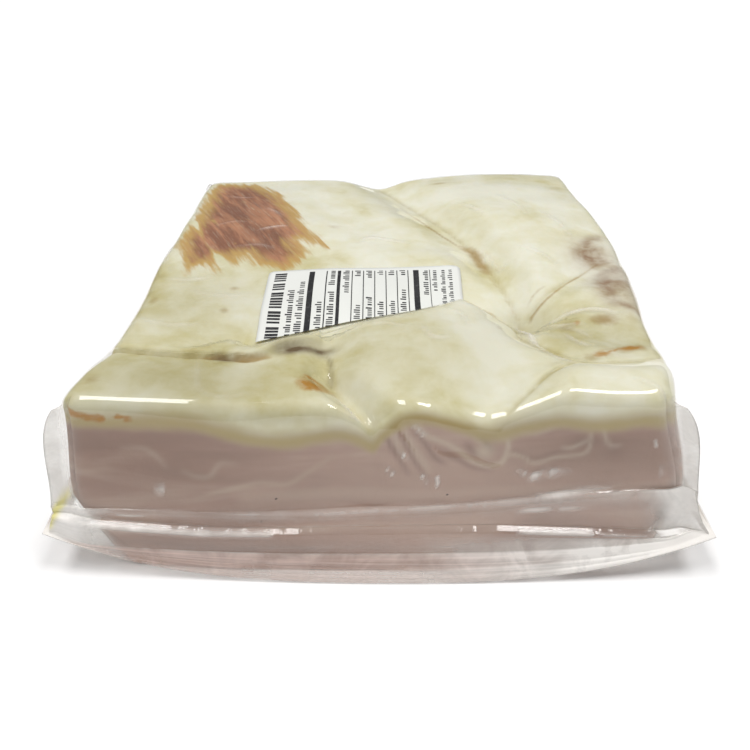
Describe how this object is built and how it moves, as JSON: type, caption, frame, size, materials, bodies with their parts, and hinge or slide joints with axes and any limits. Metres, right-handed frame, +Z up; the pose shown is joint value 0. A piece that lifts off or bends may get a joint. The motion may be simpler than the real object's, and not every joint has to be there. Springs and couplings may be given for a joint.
{
  "type": "vacuum-packed cured pork back fat",
  "caption": "Thick slab of cured pork back fat with a lean patch and a folded top, vacuum-sealed in a clear bag with a loose film skirt and a plain paper label.",
  "frame": {"origin": "centre of the bag's outline, on the surface that the slab rests on", "axes": "+Z up; +Y along the slab's length, from its cut front face to its back; +X to the right of someone who faces the cut face"},
  "size_m": [0.2142, 0.2375, 0.061],
  "materials": {
    "cured_fat": "cream fat, pink on the cut face, under clear glossy film",
    "clear_film": "clear glossy bag film, slightly hazy where doubled",
    "label_paper": "white coated paper with black bars and rules"
  },
  "bodies": {
    "root": {"sealed_bag": "cured_fat", "label": "label_paper"}
  },
  "joints": []
}
